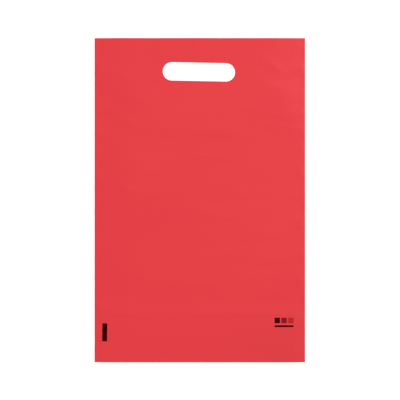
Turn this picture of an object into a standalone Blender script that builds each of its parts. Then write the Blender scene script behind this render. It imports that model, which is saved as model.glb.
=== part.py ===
"""Plastic carrier bag, lying flat on its back with its mouth towards +Y and its front up.

One strip of film makes the whole bag: back panel, a gusset tucked up inside the bottom, front panel.
A hot-knife weld closes each side, and a handle slot is punched through both panels.
Metres, +Z up, origin under the middle of the bag.
"""

import math
import random

import bmesh
import bpy
from mathutils import Matrix, Vector

# Bag
bag_width = 0.250  # across, over the side welds
bag_length = 0.385  # from the bottom folds to the mouth
film = 0.00005  # gauge of the film
gusset_depth = 0.055  # how far the bottom is tucked up between the panels

# How the layers lie on each other
layer_gap = 0.0003  # air between neighbouring layers
slack = 0.0012  # most that the front panel bellies up, besides that air
left_run = 0.045  # width beside the left weld over which the belly builds up
right_run = 0.100  # the same, beside the right weld
bottom_run = 0.040  # the same, above the bottom folds
mouth_run = 0.070  # the same, below the mouth
mouth_share = 0.35  # share of the belly that is left at the mouth
gusset_step = 0.020  # run over which the front panel steps down past the gusset's top fold
wave_length = 0.105  # from one soft wave of the front panel to the next
wave_share = 0.45  # share of the belly that the waves take up
wave_lines = ((0.35, 1.0), (-0.8, 0.6))  # the way that each of two crossing sets of waves runs

# Gathers in the front panel, which run in from the side welds. Where two values stand, each
# gather takes its own between them.
left_gathers = (0.065, 0.092, 0.134, 0.163, 0.193, 0.217, 0.247, 0.278, 0.306, 0.348)  # up the bag
right_gathers = (0.053, 0.098, 0.131, 0.165, 0.199, 0.227, 0.255, 0.276, 0.298, 0.318, 0.350)
gather_length = (0.010, 0.022)  # in from the weld
gather_width = (0.0050, 0.0085)
gather_height = (0.00018, 0.00042)
gather_slope = 0.35  # most that one runs up or down for each metre inwards
gather_fade = 1.5  # above 1, it keeps its height at first and then falls off faster
gather_seed = 41

# The bulge where the front panel was bent beside the right weld
bulge_height = 0.0009
bulge_from_right = 0.033  # from the right weld in to its top
bulge_from_mouth = 0.0745
bulge_inward = 0.060  # reach towards the bag's middle
bulge_outward = 0.024  # reach towards the weld
bulge_upward = 0.030  # reach towards the mouth, and towards the bottom
bulge_clear = 0.020  # from the weld in to where it may stand at its full height

# The front panel's lip, curled up a little at the mouth
lip_height = 0.0005
lip_run = 0.016  # how fast the curl dies away below the mouth
lip_waves = ((75, 0.8, 0.3), (143, 0.0, 0.2))  # turn for each metre, start, share of the height

# Side welds
layers = 4  # back, two legs of the gusset and front
weld_gap = 0.00002  # air that is left between the layers as they run into a weld
weld_cover = 0.00007  # melted film over and under the stack of layers
weld_taper = 0.014  # width over which the layers close up towards a weld
weld_lift = 0.004  # width over which the back panel rises off the table to a weld
weld_overrun = 0.0001  # how far a bead stands past the film at its ends

# Handle slot
slot_length = 0.086
slot_height = 0.022
slot_drop = 0.040  # from the mouth down to the slot's middle
slot_left = 0.001  # how far the punch landed left of the bag's middle
slot_tilt = math.radians(1.1)  # right end low, as the bag is seen from the front
slot_hold = 0.85  # share of the belly that is lost where the punch pressed the panels together
slot_hold_reach = 0.030  # how far round the slot the panels stay together

# Printed marks on the front
eye_mark_width = 0.0058  # the dark bar that a bag machine's sensor looks for
eye_mark_height = 0.0213
eye_mark_from_left = 0.0090  # from the left weld to the bar
eye_mark_bottom = 0.0250  # from the bottom folds up to the bar
eye_mark_tilt = math.radians(1.0)  # top to the right
patch_side = 0.0064  # square patches, one for each strength of the ink
patch_gap = 0.0017
patch_from_right = 0.0137  # from the right weld to the row of patches
patch_bottom = 0.0465  # from the bottom folds up to the row
bar_height = 0.0022  # the plain bar under the patches, as long as their row
bar_gap = 0.0025

# Mesh
taper_columns = 5  # columns of faces where the layers close up towards a weld
crowding = 1.5  # how much closer they stand towards the weld: 1 would be even
gather_band = 0.016  # inside that, where the columns are still narrow, for the gathers
band_columns = 2
middle_columns = 12
under_every = 4  # the flat layers under the front panel have every fourth of the middle columns
row_step = 0.0056  # height of the front panel's rows of faces
back_rows = 8
leg_rows = 4  # on each leg of the gusset
fold_steps = 6  # faces round a fold
slot_steps = 20  # faces round each end of the slot
weld_sides = 12  # faces round a weld bead
cut_reach = 0.02  # how far the punch reaches over and under the bag
snap = 0.00005  # a point this near to a mark's edge counts as on it

# Finish: colour, roughness
red_film = ((0.783, 0.054, 0.063), 0.42)
dark_ink = ((0.030, 0.002, 0.002), 0.38)
mid_ink = ((0.240, 0.012, 0.015), 0.38)
light_ink = ((0.500, 0.030, 0.035), 0.38)

# Worked out from the sizes above
mouth_y = bag_length / 2
bottom_y = -bag_length / 2
gusset_y = bottom_y + gusset_depth
weld_radius = (layers * film + (layers - 1) * weld_gap) / 2 + weld_cover
film_half = bag_width / 2 - weld_radius  # the film's side edges end in the middle of the beads
slot_y = mouth_y - slot_drop
narrow_band = weld_taper + gather_band


def clear_scene():
    for thing in list(bpy.data.objects):
        bpy.data.objects.remove(thing, do_unlink=True)


def material(name, finish):
    colour, roughness = finish
    made = bpy.data.materials.new(name)
    made.use_nodes = True
    shader = made.node_tree.nodes["Principled BSDF"]
    shader.inputs["Base Color"].default_value = (*colour, 1.0)
    shader.inputs["Roughness"].default_value = roughness
    shader.inputs["Metallic"].default_value = 0.0
    made.diffuse_color = (*colour, 1.0)
    return made


def ease(share):
    """0 to 1 with a level start and end."""
    share = min(max(share, 0.0), 1.0)
    return share * share * (3 - 2 * share)


def stretch(start, end, steps):
    """Evenly spaced values from start up to, but not including, end."""
    return [start + (end - start) * i / steps for i in range(steps)]


def bell(distance):
    """1 at no distance, and dying away on both sides."""
    return math.exp(-(distance**2))


def columns():
    """Where the film's columns of points stand across the bag, closest together beside the welds."""
    near = [weld_taper * (i / taper_columns) ** crowding for i in range(taper_columns)]
    near += stretch(weld_taper, narrow_band, band_columns) + [narrow_band]
    middle = stretch(narrow_band - film_half, film_half - narrow_band, middle_columns)[1:]
    left = [distance - film_half for distance in near]
    right = [film_half - distance for distance in reversed(near)]
    return left + middle + right


def under_columns():
    """The numbers of the columns that the layers under the front panel have."""
    side = taper_columns + band_columns
    right = side + middle_columns
    return [*range(side), *range(side, right, under_every), *range(right, right + side + 1)]


def from_weld(x):
    return film_half - abs(x)


def pitch(x):
    """From the middle of one layer to the middle of the next."""
    return film + weld_gap + (layer_gap - weld_gap) * ease(from_weld(x) / weld_taper)


def back_height(x):
    """The back panel lies on the table and rises beside the welds to run into them."""
    at_weld = weld_radius - (layers - 1) / 2 * (film + weld_gap)
    return at_weld + (film / 2 - at_weld) * ease(from_weld(x) / weld_lift)


def level(x, layers_under):
    return back_height(x) + layers_under * pitch(x)


def belly(x, y):
    """How far the front panel stands up of itself, in soft slanting waves."""
    sides = ease(from_weld(x) / (left_run if x < 0 else right_run))
    bottom = ease((y - bottom_y) / bottom_run)
    mouth = mouth_share + (1 - mouth_share) * ease((mouth_y - y) / mouth_run)
    turn = 2 * math.pi / wave_length
    wave = sum(math.cos(turn * (across * x + up * y)) for across, up in wave_lines)
    waves = 1 - wave_share * (1 - wave / len(wave_lines)) / 2
    return slack * sides * bottom * mouth * waves


def pressed(x, y):
    """The share of the belly that is left where the punch pressed the panels together."""
    along = max(abs(x + slot_left) - slot_length / 2, 0.0)
    across = max(abs(y - slot_y) - slot_height / 2, 0.0)
    return 1 - slot_hold * bell(math.hypot(along, across) / slot_hold_reach)


def all_gathers():
    """Each gather as (side, y, length, width, slope, height)."""
    chance = random.Random(gather_seed)
    made = []
    for side, places in ((-1, left_gathers), (1, right_gathers)):
        for place in places:
            length = chance.uniform(*gather_length)
            width = chance.uniform(*gather_width)
            slope = chance.uniform(-gather_slope, gather_slope)
            height = chance.uniform(*gather_height)
            made.append((side, bottom_y + place, length, width, slope, height))
    return made


def gathered(x, y):
    """How far the gathers lift the front panel. They start at the weld and die away inwards."""
    inward = from_weld(x)
    lifted = 0.0
    for side, place, length, width, slope, height in gathers:
        if x * side > 0:
            ridge = bell((y - place - slope * inward) / width)
            lifted += height * ridge * math.exp(-((inward / length) ** gather_fade))
    return lifted * ease(inward / weld_lift)


def bulged(x, y):
    """The soft bulge near the right weld, steeper on the weld's side."""
    across = x - (bag_width / 2 - bulge_from_right)
    up = y - (mouth_y - bulge_from_mouth)
    reach = bulge_inward if across < 0 else bulge_outward
    raised = bulge_height * bell(across / reach) * bell(up / bulge_upward)
    return raised * ease(from_weld(x) / bulge_clear)


def lip(x, y):
    """The curl of the front panel's free edge, more in some places than in others."""
    waves = sum(share * (1 + math.cos(turn * x + start)) for turn, start, share in lip_waves)
    return lip_height * waves * math.exp(-(mouth_y - y) / lip_run) * ease(from_weld(x) / narrow_band)


def front_height(x, y):
    """The front panel lies on the back panel and the gusset's two legs, then on the back panel alone."""
    layers_under = 3 - 2 * ease((y - gusset_y) / gusset_step)
    loose = belly(x, y) * pressed(x, y)
    return level(x, layers_under) + loose + gathered(x, y) + bulged(x, y) + lip(x, y)


def fold(x, y, lower, opens):
    """Points round a fold that joins layer number lower to the one above it. opens is the side of
    the fold that the layers lie on: +1 for +Y, -1 for -Y. y is the outermost point's."""
    radius = pitch(x) / 2
    centre = level(x, lower) + radius
    points = []
    for i in range(fold_steps + 1):
        angle = math.pi * i / fold_steps
        out = math.sin(angle) * radius
        points.append((y + opens * (radius - out), centre - math.cos(angle) * radius))
    return points


def under_section(x):
    """The film's middle line in the plane at x, from the back's mouth round the gusset to where the
    front panel starts."""
    reach = pitch(x) / 2
    crown = gusset_y - film / 2
    heel = bottom_y + film / 2
    back = [(y, level(x, 0)) for y in stretch(mouth_y, heel + reach, back_rows)]
    rear_leg = [(y, level(x, 1)) for y in stretch(heel + reach, crown - reach, leg_rows)[1:]]
    front_leg = [(y, level(x, 2)) for y in stretch(crown - reach, heel + reach, leg_rows)[1:]]
    rear = back + fold(x, heel, 0, 1) + rear_leg
    return rear + fold(x, crown, 1, -1) + front_leg + fold(x, heel, 2, 1)


def front_section(x):
    """The same line up the front panel to its mouth."""
    start = bottom_y + film / 2 + pitch(x) / 2
    over_gusset = stretch(start, gusset_y, round(gusset_depth / row_step))[1:]
    to_mouth = stretch(gusset_y, mouth_y, round((mouth_y - gusset_y) / row_step)) + [mouth_y]
    return [(y, front_height(x, y)) for y in over_gusset + to_mouth]


def add_rows(bm, section, numbers):
    """The points of a section at each of the numbered columns, as rows of {column: point}."""
    x = columns()
    lines = [[bm.verts.new((x[i], y, z)) for y, z in section(x[i])] for i in numbers]
    return [dict(zip(numbers, row)) for row in zip(*lines)]


def join_rows(bm, near, far):
    """Faces between two rows, facing out of the bag. Where the far row has more points, triangles fan
    out to them."""
    stops = sorted(near)
    made = []
    for first, last in zip(stops, stops[1:]):
        edge = [far[i] for i in range(last, first - 1, -1) if i in far]
        made.append(bm.faces.new((near[first], near[last], edge[0], edge[1])))
        for right, left in zip(edge[1:], edge[2:]):
            made.append(bm.faces.new((near[first], right, left)))
    return made


def film_strip():
    """The whole strip as a sheet with no thickness. Returns the mesh and the front panel's faces."""
    bm = bmesh.new()
    under = add_rows(bm, under_section, under_columns())
    front = add_rows(bm, front_section, range(len(columns())))
    for near, far in zip(under, [*under[1:], front[0]]):
        join_rows(bm, near, far)
    panel = []
    for near, far in zip(front, front[1:]):
        panel += join_rows(bm, near, far)
    return bm, panel


def spread(face):
    """From the middle of a face to its farthest corner."""
    middle = face.calc_center_median()
    return max((corner.co - middle).length for corner in face.verts)


def print_patch(bm, front, corner, size, tilt, ink):
    """Gives one tilted rectangle of the front panel an ink. corner is the rectangle's lower left."""
    turn = Matrix.Rotation(-tilt, 3, "Z")
    across, up = turn @ Vector((1, 0, 0)), turn @ Vector((0, 1, 0))
    corner = Vector((*corner, 0))
    far = corner + across * size[0] + up * size[1]
    middle = (corner + far) / 2
    half = (far - corner).length / 2
    near = []
    for face in front:
        if face.is_valid and (face.calc_center_median().xy - middle.xy).length < half + spread(face):
            near.append(face)
    for point, normal in ((corner, across), (corner, up), (far, across), (far, up)):
        parts = {part for f in near for part in (f, *f.edges, *f.verts)}
        cut = bmesh.ops.bisect_plane(
            bm, geom=list(parts), dist=snap, plane_co=point, plane_no=normal
        )
        near = [part for part in cut["geom"] if isinstance(part, bmesh.types.BMFace)]
    for face in near:
        offset = face.calc_center_median() - corner
        if 0 < offset.dot(across) < size[0] and 0 < offset.dot(up) < size[1]:
            face.material_index = ink
    kept = [f for f in front if f.is_valid]
    return list(set(kept) | set(near))


def print_marks(bm, front):
    """The eye mark near the left weld, and a row of ink patches over a bar near the right one."""
    eye_corner = (eye_mark_from_left - bag_width / 2, bottom_y + eye_mark_bottom)
    eye_size = (eye_mark_width, eye_mark_height)
    front = print_patch(bm, front, eye_corner, eye_size, eye_mark_tilt, 1)
    row_length = 3 * patch_side + 2 * patch_gap
    row_x = bag_width / 2 - patch_from_right - row_length
    row_y = bottom_y + patch_bottom
    for i in range(3):
        corner = (row_x + i * (patch_side + patch_gap), row_y)
        front = print_patch(bm, front, corner, (patch_side, patch_side), 0, 1 + i)
    bar_corner = (row_x, row_y - bar_gap - bar_height)
    print_patch(bm, front, bar_corner, (row_length, bar_height), 0, 1)


def weld_bead(side):
    """A round rod of melted film along one side edge, to be joined to the film."""
    bm = bmesh.new()
    bmesh.ops.create_cone(
        bm,
        cap_ends=True,
        segments=weld_sides,
        radius1=weld_radius,
        radius2=weld_radius,
        depth=bag_length + 2 * weld_overrun,
        matrix=Matrix.Rotation(math.pi / 2, 4, "X"),
    )
    bead = guide(f"weld_{'left' if side < 0 else 'right'}", bm)
    bead.location = (side * film_half, 0, weld_radius)
    return bead


def slot_punch():
    """A bar with round ends, to be cut out of both panels."""
    bm = bmesh.new()
    radius = slot_height / 2
    straight = slot_length / 2 - radius
    outline = []
    for end in (1, -1):
        for i in range(slot_steps + 1):
            angle = -math.pi / 2 + math.pi * i / slot_steps
            x = end * (straight + radius * math.cos(angle))
            y = end * radius * math.sin(angle)
            outline.append(bm.verts.new((x, y, -cut_reach)))
    foot = bm.faces.new(outline)
    sides = bmesh.ops.extrude_face_region(bm, geom=[foot])
    top = [part for part in sides["geom"] if isinstance(part, bmesh.types.BMVert)]
    bmesh.ops.translate(bm, verts=top, vec=(0, 0, 2 * cut_reach))
    bmesh.ops.recalc_face_normals(bm, faces=bm.faces)
    punch = guide("slot_punch", bm)
    punch.location = (-slot_left, slot_y, 0)
    punch.rotation_euler.z = -slot_tilt
    return punch


def guide(name, bm):
    """An object that only shapes the bag and isn't part of it."""
    mesh = bpy.data.meshes.new(name)
    bm.to_mesh(mesh)
    bm.free()
    made = bpy.data.objects.new(name, mesh)
    made.hide_render = True
    made.display_type = "WIRE"
    bpy.context.collection.objects.link(made)
    return made


def boolean(bag, name, operation, other):
    step = bag.modifiers.new(name, "BOOLEAN")
    step.operation = operation
    step.solver = "EXACT"
    step.object = other


def carrier_bag():
    bm, front = film_strip()
    print_marks(bm, front)
    bmesh.ops.triangulate(bm, faces=bm.faces)  # so that both faces of the film bend alike
    mesh = bpy.data.meshes.new("carrier_bag")
    bm.to_mesh(mesh)
    bm.free()
    mesh.shade_smooth()
    inks = {"dark_ink": dark_ink, "mid_ink": mid_ink, "light_ink": light_ink}
    for name, finish in {"red_film": red_film, **inks}.items():
        mesh.materials.append(material(name, finish))
    bag = bpy.data.objects.new("carrier_bag", mesh)
    bpy.context.collection.objects.link(bag)

    gauge = bag.modifiers.new("film gauge", "SOLIDIFY")
    gauge.thickness = film
    gauge.offset = 0
    gauge.use_even_offset = True
    gauge.material_offset = -len(inks)  # the film's inner face carries no ink
    boolean(bag, "left weld", "UNION", weld_bead(-1))
    boolean(bag, "right weld", "UNION", weld_bead(1))
    boolean(bag, "handle slot", "DIFFERENCE", slot_punch())
    return bag


gathers = all_gathers()
clear_scene()
carrier_bag()
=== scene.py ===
"""The looks of a plastic carrier bag that lies flat: thin red film, welded sides, a tucked-in gusset."""

import math
import random

import bmesh
import bpy
import numpy as np
from mathutils import Matrix, Vector


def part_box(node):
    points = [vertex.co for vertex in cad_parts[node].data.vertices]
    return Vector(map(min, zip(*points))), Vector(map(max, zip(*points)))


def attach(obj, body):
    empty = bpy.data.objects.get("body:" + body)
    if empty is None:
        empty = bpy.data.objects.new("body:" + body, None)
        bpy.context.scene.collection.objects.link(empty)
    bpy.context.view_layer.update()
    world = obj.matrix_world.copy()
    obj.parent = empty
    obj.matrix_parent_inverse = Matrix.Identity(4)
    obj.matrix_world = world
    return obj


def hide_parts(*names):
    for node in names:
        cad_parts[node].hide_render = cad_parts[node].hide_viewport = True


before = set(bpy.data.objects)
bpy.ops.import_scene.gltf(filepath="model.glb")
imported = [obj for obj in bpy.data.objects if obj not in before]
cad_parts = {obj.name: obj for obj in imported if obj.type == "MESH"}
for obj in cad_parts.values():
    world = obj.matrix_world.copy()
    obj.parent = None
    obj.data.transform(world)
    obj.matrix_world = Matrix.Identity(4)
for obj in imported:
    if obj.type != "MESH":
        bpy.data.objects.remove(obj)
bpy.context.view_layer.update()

# The bag's sizes, in metres. They are the solid's own.
low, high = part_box("carrier_bag")
film = 0.00005  # gauge
weld_radius = 0.0002
weld_overrun = 0.0001  # how far the beads stand past the film at their ends
gusset_depth = 0.055
slot_length = 0.086
slot_height = 0.022
slot_drop = 0.040
slot_left = 0.001
slot_tilt = math.radians(1.1)
bag_width = high.x - low.x
bag_length = high.y - low.y - 2 * weld_overrun
mouth_y = bag_length / 2
bottom_y = -bag_length / 2
gusset_y = bottom_y + gusset_depth
slot_y = mouth_y - slot_drop
film_half = bag_width / 2 - weld_radius

# How the layers lie on each other, as in the solid
layers = 4  # back, two legs of the gusset and front
weld_gap = 0.00002
layer_gap = 0.0003
weld_taper = 0.014
weld_lift = 0.004
gusset_step = 0.020
slack = 0.0012
left_run = 0.045
right_run = 0.100
bottom_run = 0.040
mouth_run = 0.070
mouth_share = 0.35
wave_length = 0.105
wave_share = 0.45
wave_lines = ((0.35, 1.0), (-0.8, 0.6))
slot_hold = 0.85
slot_hold_reach = 0.030

# The front panel's gathers, bulge and lip, as in the solid. Where two values stand, each gather
# takes its own between them.
left_gathers = (0.065, 0.092, 0.134, 0.163, 0.193, 0.217, 0.247, 0.278, 0.306, 0.348)
right_gathers = (0.053, 0.098, 0.131, 0.165, 0.199, 0.227, 0.255, 0.276, 0.298, 0.318, 0.350)
gather_length = (0.010, 0.022)
gather_width = (0.0050, 0.0085)
gather_height = (0.00018, 0.00042)
gather_slope = 0.35
gather_fade = 1.5
gather_seed = 41
bulge_height = 0.0009
bulge_from_right = 0.033
bulge_from_mouth = 0.0745
bulge_inward = 0.060
bulge_outward = 0.024
bulge_upward = 0.030
bulge_clear = 0.020
lip_height = 0.0005
lip_run = 0.016
lip_waves = ((75, 0.8, 0.3), (143, 0.0, 0.2))

# Relief that the solid leaves out: fine ripples all along the welds, kinks from handling
ripple_pitch = (0.006, 0.014)
ripple_length = (0.005, 0.016)
ripple_width = (0.0020, 0.0036)
ripple_height = (0.00004, 0.00014)
ripple_at_weld = 0.25  # share of a ripple's height that is left in the weld itself
kink_count = 46
kink_half = (0.012, 0.045)
kink_width = (0.0030, 0.0065)
kink_height = (0.00005, 0.00020)
kink_turn = math.radians(28)
kink_reach = 0.85  # share of the way from the bag's middle to a weld
kink_from_gusset = 0.020
kink_from_mouth = 0.010

# How fine the mesh is
row_step = 0.0018
crown_rows = (-0.0010, -0.0005, 0.0, 0.0005, 0.0010)  # about the gusset's top fold
crown_clear = 0.0016  # no other rows within this distance of it
edge_band = 0.030  # beside each weld, where the columns are close
edge_columns = 22
edge_crowding = 1.6  # above 1, they stand closer together towards the weld
fine_columns = 72
coarse_every = 4
fold_steps = 8
fold_clear = 0.0004
weld_sides = 10
slot_steps = 48
punch_reach = 0.020  # above and below the floor
sharp_from = math.radians(45)

# Printed marks
eye_mark_size = (0.0058, 0.0213)
eye_mark_from_left = 0.0090
eye_mark_bottom = 0.0250
eye_mark_tilt = math.radians(1.0)
patch_side = 0.0064
patch_gap = 0.0017
patch_from_right = 0.0137
patch_bottom = 0.0465
bar_height = 0.0022
bar_gap = 0.0025
ink_blur = 0.00008
ink_ragged = 0.00022

# Colours
pale_film = (0.854, 0.0348, 0.0450, 1.0)
deep_film = (0.655, 0.0298, 0.0389, 1.0)
dark_ink = (0.039, 0.0004, 0.0004, 1.0)
mid_ink = (0.240, 0.010, 0.013, 1.0)
light_ink = (0.500, 0.020, 0.026, 1.0)
film_share = 0.62  # of the pale red, the rest being the deep one
film_gloss = 0.42
# Painted shade: soft round spots where the film's red is painted darker, each as round which place, how
# far, and by what share of the pale red
shade_spots = (((0.130, -0.195, 0.0), 0.14, -0.30), ((-0.085, 0.160, 0.0), 0.07, -0.10))

# The film's patterns, by their repeats to the metre: across the bag and up it where there are two
cloud_scale = 15.0
patchy_clouds = (-0.6, 0.5)  # where the clouds let wrinkles and crease begin to show, and show in full
band_scales = (9.0, 70.0)
die_line_scales = (5.0, 1100.0)
grain_scale = 900.0
crumple_scale = 110.0
wrinkle_scale = 34.0
wrinkle_spread = 1.6
wrinkle_sharpness = 7.0
ripple_scales = (40.0, 420.0)
rippled_band = 0.010  # in from the weld
ragged_scale = 2200.0  # of the ink's edges

# Where the film's finish changes
crease_half = 0.0011  # to each side of the gusset's top fold
crease_least = 0.45  # how plain the crease is where it is faintest
tucked_blur = 0.0003  # to each side of the edge of the part over the gusset
fused_widths = (0.0011, 0.0006)  # in from the weld: none before the first, full from the second
# the bands along the slot's edge and the bag's ends where a highlight is painted
slot_rim_width = 0.0009
edge_rim_width = 0.0008

# What these add to the share of the pale red
cloud_red = 0.045
band_red = 0.05
die_line_red = 0.03
# painted shade: the film over the gusset is painted darker, for the light that the stacked layers under it
# keep back
tucked_shade = -0.03
# painted shade: a dark line along the gusset's top fold
crease_shade = -0.22
fused_red = -0.30
# painted highlight: the slot's edge, the mouth and the bottom are painted paler, as if catching the light
rim_highlight = 0.12

# The film's roughness, and what they add to it
film_roughness = 0.315
cloud_roughness = 0.015
die_line_roughness = 0.01
grain_roughness = 0.01
fused_roughness = -0.12
ink_roughness = 0.06

# What they add to the height, in millimetres
grain_relief = 0.0016
die_line_relief = 0.0012
crumple_relief = 0.010
wrinkle_relief = 0.020
ripple_relief = 0.020
crease_relief = -0.030

# The floor, which glows only where the camera, gloss or glass shows it
floor_white = 0.85
floor_roughness = 0.9
floor_half = 40.0
floor_drop = 0.00005  # below the bag, so that the two don't touch
floor_glow = 0.35
far_glow = 0.27  # what is added where the lamp no longer reaches
far_reach = (1.0, 8.0)

# The lamp and the camera
key_place = (3.65, 3.65, 6.15)
key_size = 1.8
key_power = 456  # watts
camera_lens = 100  # millimetres, as is the next
camera_sensor = 36
camera_middle = (0.00024, 0.00018)  # over which the camera looks straight down
seen_width = 0.4753

# The studio's light. A height here is the sine of the angle above the floor.
light_at_horizon = 1.0
horizon_heights = (0.10, 0.40)  # full up to the first, gone at the second
light_at_sides = 0.20
light_overhead = 0.57
overhead_heights = (0.42, 0.82)  # none up to the first, full at the second

chance = np.random.default_rng(723)


def ease(share):
    """0 to 1 with a level start and end."""
    share = np.clip(share, 0.0, 1.0)
    return share * share * (3 - 2 * share)


def bell(distance):
    return np.exp(-(distance**2))


# Where the film's points stand


def columns():
    """Across the bag from weld to weld, closest together beside the welds. The second list picks
    out those that the layers under the front panel use."""
    near = edge_band * (np.arange(edge_columns + 1) / edge_columns) ** edge_crowding
    middle = np.linspace(edge_band - film_half, film_half - edge_band, fine_columns + 1)[1:-1]
    x = np.concatenate([near - film_half, middle, (film_half - near)[::-1]])
    step_in = np.arange(len(x)) - edge_columns
    inside = (step_in > 0) & (step_in < fine_columns)
    return x, np.flatnonzero(~inside | (step_in % coarse_every == 0))


def panel_rows(start, end):
    """Up the bag, evenly, with a closer group at the gusset's top fold."""
    even = np.linspace(start, end, int(round((end - start) / row_step)) + 1)
    group = gusset_y + np.array(crown_rows)
    away = even[np.abs(even - gusset_y) > crown_clear]
    return np.sort(np.concatenate([away, group[(group > start) & (group < end)]]))


def from_weld(x):
    return film_half - np.abs(x)


def pitch(x):
    return film + weld_gap + (layer_gap - weld_gap) * ease(from_weld(x) / weld_taper)


def back_height(x):
    at_weld = weld_radius - (layers - 1) / 2 * (film + weld_gap)
    return at_weld + (film / 2 - at_weld) * ease(from_weld(x) / weld_lift)


def level(x, layers_under):
    return back_height(x) + layers_under * pitch(x)


def all_gathers():
    """The front panel's gathers as (side, y, length, width, slope, height), drawn as in the solid."""
    draw = random.Random(gather_seed)
    made = []
    for side, places in ((-1, left_gathers), (1, right_gathers)):
        for place in places:
            length = draw.uniform(*gather_length)
            width = draw.uniform(*gather_width)
            slope = draw.uniform(-gather_slope, gather_slope)
            height = draw.uniform(*gather_height)
            made.append((side, bottom_y + place, length, width, slope, height))
    return made


def all_ripples():
    """The fine ripples beside the welds, in the same form."""
    made = []
    for side in (-1, 1):
        y = bottom_y + ripple_pitch[0]
        while y < mouth_y:
            length, width = chance.uniform(*ripple_length), chance.uniform(*ripple_width)
            slope = chance.uniform(-gather_slope, gather_slope)
            made.append((side, y, length, width, slope, chance.uniform(*ripple_height)))
            y += chance.uniform(*ripple_pitch)
    return made


def all_kinks():
    """Soft straight kinks, most of them across the bag."""
    made = []
    for _ in range(kink_count):
        x = chance.uniform(-kink_reach, kink_reach) * film_half
        y = chance.uniform(gusset_y + kink_from_gusset, mouth_y - kink_from_mouth)
        turn = chance.normal(0.0, kink_turn)
        half, width = chance.uniform(*kink_half), chance.uniform(*kink_width)
        made.append((x, y, turn, half, width, chance.uniform(*kink_height)))
    return made


gathers = all_gathers()
ripples = all_ripples()
kinks = all_kinks()


def ridges(x, y, chosen):
    """The height of ridges that start at a weld and die away inwards."""
    lifted = np.zeros(np.broadcast(x, y).shape)
    inward = from_weld(x)
    for side, place, length, width, slope, size in chosen:
        fade = np.exp(-((inward / length) ** gather_fade))
        ridge = bell((y - place - slope * inward) / width)
        lifted += np.where(x * side > 0, size * fade * ridge, 0.0)
    return lifted


def gathered(x, y):
    """How far the gathers lift the front panel."""
    return ridges(x, y, gathers) * ease(from_weld(x) / weld_lift)


def rippled(x, y):
    """How far the ripples lift all the layers together."""
    share = ripple_at_weld + (1 - ripple_at_weld) * ease(from_weld(x) / weld_lift)
    return ridges(x, y, ripples) * share


def kinked(x, y):
    raised = np.zeros(np.broadcast(x, y).shape)
    for at_x, at_y, turn, half, width, size in kinks:
        along = (x - at_x) * math.cos(turn) + (y - at_y) * math.sin(turn)
        across = (y - at_y) * math.cos(turn) - (x - at_x) * math.sin(turn)
        raised += size * bell(across / width) * bell(along / half)
    return raised * ease(from_weld(x) / edge_band)


def bulged(x, y):
    """A soft bulge near the right weld, steeper on the weld's side."""
    across = x - (bag_width / 2 - bulge_from_right)
    up = y - (mouth_y - bulge_from_mouth)
    reach = np.where(across < 0, bulge_inward, bulge_outward)
    return bulge_height * bell(across / reach) * bell(up / bulge_upward) * ease(from_weld(x) / bulge_clear)


def lip(x, y):
    """The front panel's free edge at the mouth curls up a little, more here and less there."""
    waves = sum(share * (1 + np.cos(turn * x + start)) for turn, start, share in lip_waves)
    return lip_height * waves * np.exp(-(mouth_y - y) / lip_run) * ease(from_weld(x) / edge_band)


def belly(x, y):
    """How far the front panel stands up of itself, in soft slanting waves."""
    sides = ease(from_weld(x) / np.where(x < 0, left_run, right_run))
    bottom = ease((y - bottom_y) / bottom_run)
    mouth = mouth_share + (1 - mouth_share) * ease((mouth_y - y) / mouth_run)
    turn = 2 * math.pi / wave_length
    wave = sum(np.cos(turn * (across * x + up * y)) for across, up in wave_lines)
    waves = 1 - wave_share * (1 - wave / len(wave_lines)) / 2
    return slack * sides * bottom * mouth * waves


def pressed(x, y):
    """The share of the belly that is left where the punch pressed the panels together."""
    along = np.maximum(np.abs(x + slot_left) - slot_length / 2, 0.0)
    across = np.maximum(np.abs(y - slot_y) - slot_height / 2, 0.0)
    return 1 - slot_hold * bell(np.hypot(along, across) / slot_hold_reach)


def front_height(x, y):
    layers_under = (layers - 1) - 2 * ease((y - gusset_y) / gusset_step)
    loose = (belly(x, y) + kinked(x, y)) * pressed(x, y)
    return level(x, layers_under) + loose + gathered(x, y) + bulged(x, y) + lip(x, y)


# The film


def fold(x, y, lower, opens):
    """Rows of points round the fold that joins layer number lower to the next one up. y is the
    outermost point's, and opens is +1 if the layers lie above it and -1 if below."""
    radius = pitch(x) / 2
    centre = level(x, lower) + radius
    rows = []
    for i in range(fold_steps + 1):
        angle = math.pi * i / fold_steps
        rows.append((y + opens * radius * (1 - math.sin(angle)), centre - math.cos(angle) * radius))
    return rows


def film_rows(x, few):
    """The film's rows of points from the back's mouth round the gusset to the front's, each as
    (columns used, y, z), and the number of rows that lie before the front panel."""
    crown = gusset_y - film / 2
    heel = bottom_y + film / 2
    panel = panel_rows(heel + fold_clear, mouth_y)
    leg = panel[panel < crown - fold_clear]
    some = x[few]
    under = [(y + 0 * some, level(some, 0)) for y in panel[::-1]]
    under += fold(some, heel, 0, 1)
    under += [(y + 0 * some, level(some, 1)) for y in leg]
    under += fold(some, crown, 1, -1)
    under += [(y + 0 * some, level(some, 2)) for y in leg[::-1]]
    under += fold(some, heel, 2, 1)
    rows = [(few, y, z) for y, z in under]
    rows += [(np.arange(len(x)), y + 0 * x, front_height(x, y)) for y in panel]
    return rows, len(under)


def between(lower, upper, lower_from, upper_from):
    """Triangles between two rows, facing out of the bag. lower uses all of the columns that upper
    does, or only some."""
    made = []
    place = {column: i for i, column in enumerate(upper)}
    for i in range(len(lower) - 1):
        a, b = lower_from + i, lower_from + i + 1
        first, last = place[lower[i]], place[lower[i + 1]]
        made.append((a, b, upper_from + last))
        for j in range(first, last):
            made.append((a, upper_from + j + 1, upper_from + j))
    return made


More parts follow.
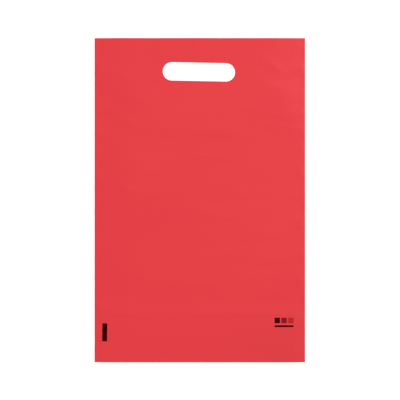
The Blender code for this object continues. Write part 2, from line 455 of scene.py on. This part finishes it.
def film_strip():
    """The whole strip of film as a sheet of no thickness."""
    x, few = columns()
    rows, front_from = film_rows(x, few)
    points, triangles, finish, starts = [], [], [], []
    for used, y, z in rows:
        starts.append(len(points))
        points.extend(np.stack([x[used], y, z + rippled(x[used], y)], axis=1).tolist())
    for i in range(len(rows) - 1):
        new = between(rows[i][0].tolist(), rows[i + 1][0].tolist(), starts[i], starts[i + 1])
        triangles.extend(new)
        finish.extend([int(i >= front_from)] * len(new))
    mesh = bpy.data.meshes.new("bag_film")
    mesh.from_pydata(points, [], triangles)
    mesh.polygons.foreach_set("material_index", finish)
    return mesh


def helper(name, bm):
    bmesh.ops.recalc_face_normals(bm, faces=bm.faces)
    mesh = bpy.data.meshes.new(name)
    bm.to_mesh(mesh)
    bm.free()
    made = bpy.data.objects.new(name, mesh)
    bpy.context.collection.objects.link(made)
    return made


def weld(side):
    """The round bead of melted film along one side edge."""
    bm = bmesh.new()
    x = side * film_half
    rows = panel_rows(bottom_y - weld_overrun, mouth_y + weld_overrun)
    lifted = weld_radius + rippled(np.full_like(rows, x), rows)
    turns = [2 * math.pi * i / weld_sides for i in range(weld_sides)]
    rings = []
    for y, z in zip(rows, lifted):
        spots = [(x + weld_radius * math.cos(a), y, z + weld_radius * math.sin(a)) for a in turns]
        rings.append([bm.verts.new(spot) for spot in spots])
    for one, two in zip(rings, rings[1:]):
        for i in range(weld_sides):
            j = (i + 1) % weld_sides
            bm.faces.new((one[i], two[i], two[j], one[j]))
    bm.faces.new(rings[0])
    bm.faces.new(rings[-1])
    return helper("weld", bm)


def slot_punch():
    bm = bmesh.new()
    radius = slot_height / 2
    straight = slot_length / 2 - radius
    outline = []
    for end in (1, -1):
        for i in range(slot_steps + 1):
            angle = -math.pi / 2 + math.pi * i / slot_steps
            outline.append((end * (straight + radius * math.cos(angle)), end * radius * math.sin(angle)))
    foot = bm.faces.new([bm.verts.new((x, y, -punch_reach)) for x, y in outline])
    sides = bmesh.ops.extrude_face_region(bm, geom=[foot])
    top = [part for part in sides["geom"] if isinstance(part, bmesh.types.BMVert)]
    bmesh.ops.translate(bm, verts=top, vec=(0, 0, 2 * punch_reach))
    place = Matrix.Translation((-slot_left, slot_y, 0)) @ Matrix.Rotation(-slot_tilt, 4, "Z")
    bmesh.ops.transform(bm, matrix=place, verts=bm.verts)
    return helper("punch", bm)


def bag(finishes):
    mesh = film_strip()
    for finish in finishes:
        mesh.materials.append(finish)
    made = bpy.data.objects.new("bag_film", mesh)
    bpy.context.collection.objects.link(made)
    gauge = made.modifiers.new("gauge", "SOLIDIFY")
    gauge.thickness = film
    gauge.offset = 0
    gauge.use_even_offset = True
    gauge.material_offset = -1  # no ink on the film's inner face
    tools = {"left weld": weld(-1), "right weld": weld(1), "slot": slot_punch()}
    for name, other in tools.items():
        step = made.modifiers.new(name, "BOOLEAN")
        step.operation = "DIFFERENCE" if name == "slot" else "UNION"
        step.solver = "MANIFOLD"
        step.object = other
    bpy.context.view_layer.update()
    shape = made.evaluated_get(bpy.context.evaluated_depsgraph_get())
    finished = bpy.data.meshes.new_from_object(shape)
    made.modifiers.clear()
    made.data = finished
    for other in tools.values():
        bpy.data.objects.remove(other)
    finished.shade_smooth()
    finished.set_sharp_from_angle(angle=sharp_from)
    return made


# Finishes. Heights in the nodes are in millimetres, places in metres.


def add(tree, kind, feeds, **settings):
    """A node, its inputs fed by plain values or by other nodes' outputs."""
    made = tree.nodes.new("ShaderNode" + kind)
    for name, value in settings.items():
        setattr(made, name, value)
    for name, value in feeds.items():
        if isinstance(value, bpy.types.NodeSocket):
            tree.links.new(value, made.inputs[name])
        else:
            made.inputs[name].default_value = value
    return made


def maths(tree, operation, *values):
    return add(tree, "Math", dict(enumerate(values)), operation=operation).outputs[0]


def times(tree, *values):
    result = values[0]
    for value in values[1:]:
        result = maths(tree, "MULTIPLY", result, value)
    return result


def plus(tree, *values):
    result = values[0]
    for value in values[1:]:
        result = maths(tree, "ADD", result, value)
    return result


def ramp(tree, value, start, end):
    """Smoothly from 0 where value is start to 1 where it is end."""
    feeds = {"Value": value, "From Min": start, "From Max": end}
    return add(tree, "MapRange", feeds, interpolation_type="SMOOTHSTEP").outputs[0]


def stretched(tree, place, across, up):
    """Coordinates for a pattern with so many repeats to the metre across the bag and up it."""
    return add(tree, "Mapping", {"Vector": place, "Scale": (across, up, across)}).outputs[0]


def noise(tree, place, scale, detail, size=1.0):
    """Noise about zero that seldom goes past size."""
    texture = add(tree, "TexNoise", {"Vector": place, "Scale": scale, "Detail": detail})
    return times(tree, maths(tree, "SUBTRACT", texture.outputs[0], 0.5), 3 * size)


def mixed(tree, share, one, other):
    return add(tree, "Mix", {0: share, 6: one, 7: other}, data_type="RGBA").outputs[2]


def near_slot(tree, place):
    """How far a place on the film is from the slot's edge."""
    feeds = {"Vector": place, "Location": (-slot_left, slot_y, 0), "Rotation": (0, 0, -slot_tilt)}
    local = add(tree, "Mapping", feeds, vector_type="TEXTURE").outputs[0]
    parts = add(tree, "SeparateXYZ", {0: local})
    straight = (slot_length - slot_height) / 2
    past = maths(tree, "SUBTRACT", maths(tree, "ABSOLUTE", parts.outputs[0]), straight)
    past = maths(tree, "MAXIMUM", past, 0.0)
    squares = plus(tree, times(tree, past, past), times(tree, parts.outputs[1], parts.outputs[1]))
    return maths(tree, "SUBTRACT", maths(tree, "SQRT", squares), slot_height / 2)


def shade_spot(tree, place, middle, reach, change):
    """A soft round spot of painted shade, largest in the middle."""
    away = add(tree, "VectorMath", {0: place, 1: middle}, operation="DISTANCE").outputs["Value"]
    return times(tree, ramp(tree, away, reach, 0.0), change)


def rectangle(tree, place, mark):
    """1 on a printed rectangle and 0 off it, with the slight blur of ink on film."""
    centre, size, tilt = mark
    feeds = {"Vector": place, "Location": (*centre, 0), "Rotation": (0, 0, -tilt)}
    local = add(tree, "Mapping", feeds, vector_type="TEXTURE").outputs[0]
    parts = add(tree, "SeparateXYZ", {0: local})
    inside = []
    for part, length in zip(parts.outputs, size):
        distance = maths(tree, "ABSOLUTE", part)
        inside.append(ramp(tree, distance, length / 2 + ink_blur, length / 2 - ink_blur))
    return times(tree, *inside)


def printed_marks():
    """Each mark's rectangle as (centre, size, tilt), with its ink."""
    turn = Matrix.Rotation(-eye_mark_tilt, 2)
    corner = Vector((eye_mark_from_left - bag_width / 2, bottom_y + eye_mark_bottom))
    centre = corner + turn @ (Vector(eye_mark_size) / 2)
    marks = [((tuple(centre), eye_mark_size, eye_mark_tilt), dark_ink)]
    row_length = 3 * patch_side + 2 * patch_gap
    row_x = bag_width / 2 - patch_from_right - row_length
    row_y = bottom_y + patch_bottom
    for i, ink in enumerate((dark_ink, mid_ink, light_ink)):
        x = row_x + i * (patch_side + patch_gap) + patch_side / 2
        marks.append((((x, row_y + patch_side / 2), (patch_side, patch_side), 0.0), ink))
    bar_y = row_y - bar_gap - bar_height / 2
    marks.append((((row_x + row_length / 2, bar_y), (row_length, bar_height), 0.0), dark_ink))
    return marks


def film_finish(name, marks):
    """Satin red film. Its die lines and bands run across the bag, the way the film was drawn. Painted
    shade darkens soft spots, the part over the gusset and the crease, and a painted highlight lightens the
    cut edges.
    """
    made = bpy.data.materials.new(name)
    made.use_nodes = True
    tree = made.node_tree
    shader = tree.nodes["Principled BSDF"]
    place = add(tree, "TexCoord", {}).outputs["Object"]
    parts = add(tree, "SeparateXYZ", {0: place})
    outward = maths(tree, "ABSOLUTE", parts.outputs[0])
    y = parts.outputs[1]
    from_gusset = maths(tree, "ABSOLUTE", maths(tree, "SUBTRACT", y, gusset_y))

    clouds = noise(tree, place, cloud_scale, detail=3.0)
    bands = noise(tree, stretched(tree, place, *band_scales), scale=1.0, detail=2.0)
    die_lines = noise(tree, stretched(tree, place, *die_line_scales), scale=1.0, detail=2.0)
    grain = noise(tree, place, grain_scale, detail=2.0)
    crumple = noise(tree, place, crumple_scale, detail=4.0)
    patchy = ramp(tree, clouds, *patchy_clouds)

    # where the film lies over the gusset, which is painted darker as shade
    tucked = ramp(tree, y, gusset_y + tucked_blur, gusset_y - tucked_blur)
    plainness = plus(tree, crease_least, times(tree, 1 - crease_least, patchy))
    # The crease is a groove in the bump and a line of painted shade in the colour.
    crease = times(tree, ramp(tree, from_gusset, crease_half, 0.0), plainness)
    fused = ramp(tree, outward, *(bag_width / 2 - inward for inward in fused_widths))
    # painted highlight along the slot's edge, the mouth and the bottom fold
    slot_rim = ramp(tree, near_slot(tree, place), slot_rim_width, 0.0)
    mouth_rim = ramp(tree, y, mouth_y - edge_rim_width, mouth_y)
    bottom_rim = ramp(tree, y, bottom_y + edge_rim_width, bottom_y)
    rim = maths(tree, "MAXIMUM", slot_rim, maths(tree, "MAXIMUM", mouth_rim, bottom_rim))

    share = plus(
        tree,
        film_share,
        # painted shade in soft round spots
        *(shade_spot(tree, place, *one) for one in shade_spots),
        times(tree, clouds, cloud_red),
        times(tree, bands, band_red),
        times(tree, die_lines, die_line_red),
        times(tree, tucked, tucked_shade),
        times(tree, crease, crease_shade),
        times(tree, fused, fused_red),
        times(tree, rim, rim_highlight),
    )
    colour = mixed(tree, share, deep_film, pale_film)
    roughness = plus(
        tree,
        film_roughness,
        times(tree, clouds, cloud_roughness),
        times(tree, die_lines, die_line_roughness),
        times(tree, grain, grain_roughness),
        times(tree, fused, fused_roughness),
    )
    from_line = maths(tree, "ABSOLUTE", noise(tree, place, wrinkle_scale, detail=3.0, size=wrinkle_spread))
    ridged = maths(tree, "MAXIMUM", maths(tree, "SUBTRACT", 1.0, from_line), 0.0)
    wrinkles = times(tree, maths(tree, "POWER", ridged, wrinkle_sharpness), patchy)
    fine_ripples = noise(tree, stretched(tree, place, *ripple_scales), scale=1.0, detail=2.0)
    beside_weld = ramp(tree, outward, bag_width / 2 - rippled_band, bag_width / 2)
    height = plus(
        tree,
        times(tree, grain, grain_relief),
        times(tree, die_lines, die_line_relief),
        times(tree, crumple, crumple_relief),
        times(tree, wrinkles, wrinkle_relief),
        times(tree, fine_ripples, times(tree, beside_weld, ripple_relief)),
        times(tree, crease, crease_relief),
    )

    if marks:
        feeds = {"Vector": place, "Scale": ragged_scale, "Detail": 1.0}
        wander = add(tree, "TexNoise", feeds).outputs["Color"]
        wander = add(tree, "VectorMath", {0: wander, 1: (0.5, 0.5, 0.5)}, operation="SUBTRACT").outputs[0]
        wander = add(tree, "VectorMath", {0: wander, "Scale": ink_ragged}, operation="SCALE").outputs[0]
        ragged = add(tree, "VectorMath", {0: place, 1: wander}, operation="ADD").outputs[0]
        inked = 0.0
        for mark, ink in marks:
            covered = rectangle(tree, ragged, mark)
            colour = mixed(tree, covered, colour, ink)
            inked = plus(tree, inked, covered)
        roughness = plus(tree, roughness, times(tree, inked, ink_roughness))
        gloss = times(tree, film_gloss, maths(tree, "SUBTRACT", 1.0, inked))
        tree.links.new(gloss, shader.inputs["Specular IOR Level"])
    else:
        shader.inputs["Specular IOR Level"].default_value = film_gloss

    bump = add(tree, "Bump", {"Height": height, "Strength": 1.0, "Distance": 0.001})
    tree.links.new(colour, shader.inputs["Base Color"])
    tree.links.new(roughness, shader.inputs["Roughness"])
    tree.links.new(bump.outputs[0], shader.inputs["Normal"])
    return made


# Floor, light and camera


def floor_finish():
    """A matt white that the camera sees as white, also past the lamp's reach, and that keeps shadows."""
    made = bpy.data.materials.new("floor_white")
    made.use_nodes = True
    tree = made.node_tree
    shader = tree.nodes["Principled BSDF"]
    shader.inputs["Base Color"].default_value = (floor_white, floor_white, floor_white, 1.0)
    shader.inputs["Roughness"].default_value = floor_roughness
    shader.inputs["Emission Color"].default_value = (1.0, 1.0, 1.0, 1.0)
    place = add(tree, "TexCoord", {}).outputs["Object"]
    away = add(tree, "VectorMath", {0: place}, operation="LENGTH").outputs["Value"]
    far = ramp(tree, away, *far_reach)
    path = add(tree, "LightPath", {})
    seen = [path.outputs[kind] for kind in ("Is Camera Ray", "Is Glossy Ray", "Is Transmission Ray")]
    glow = plus(tree, floor_glow, times(tree, far, far_glow))
    strength = times(tree, glow, maths(tree, "MINIMUM", plus(tree, *seen), 1.0))
    tree.links.new(strength, shader.inputs["Emission Strength"])
    return made


def floor():
    bm = bmesh.new()
    bmesh.ops.create_grid(bm, x_segments=1, y_segments=1, size=floor_half)
    mesh = bpy.data.meshes.new("floor")
    bm.to_mesh(mesh)
    bm.free()
    mesh.materials.append(floor_finish())
    made = bpy.data.objects.new("floor", mesh)
    made.location.z = -floor_drop
    bpy.context.collection.objects.link(made)


def studio():
    """Soft white light: a bright horizon, darker walls above it and a bright ceiling."""
    made = bpy.data.worlds.new("studio")
    bpy.context.scene.world = made
    made.use_nodes = True
    tree = made.node_tree
    shader = tree.nodes["Background"]
    shader.inputs["Color"].default_value = (1.0, 1.0, 1.0, 1.0)
    direction = add(tree, "TexCoord", {}).outputs["Generated"]
    up = add(tree, "SeparateXYZ", {0: direction}).outputs[2]
    horizon = ramp(tree, up, horizon_heights[1], horizon_heights[0])
    overhead = ramp(tree, up, *overhead_heights)
    strength = plus(
        tree,
        light_at_sides,
        times(tree, horizon, light_at_horizon - light_at_sides),
        times(tree, overhead, light_overhead - light_at_sides),
    )
    tree.links.new(strength, shader.inputs["Strength"])


def area_light(name, place, size, power):
    """A square lamp that faces the bag."""
    data = bpy.data.lights.new(name, "AREA")
    data.size = size
    data.energy = power
    made = bpy.data.objects.new(name, data)
    made.location = place
    made.rotation_euler = (-Vector(place)).to_track_quat("-Z", "Y").to_euler()
    bpy.context.collection.objects.link(made)


def camera():
    data = bpy.data.cameras.new("camera")
    data.lens = camera_lens
    data.sensor_width = camera_sensor
    made = bpy.data.objects.new("camera", data)
    made.location = (*camera_middle, seen_width * camera_lens / camera_sensor)
    bpy.context.collection.objects.link(made)
    bpy.context.scene.camera = made


camera()
studio()
area_light("key", key_place, key_size, key_power)
floor()

film_piece = bag([film_finish("red_film", []), film_finish("red_film_printed", printed_marks())])
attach(film_piece, "root")
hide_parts("carrier_bag")

bpy.context.scene.view_settings.view_transform = "Standard"
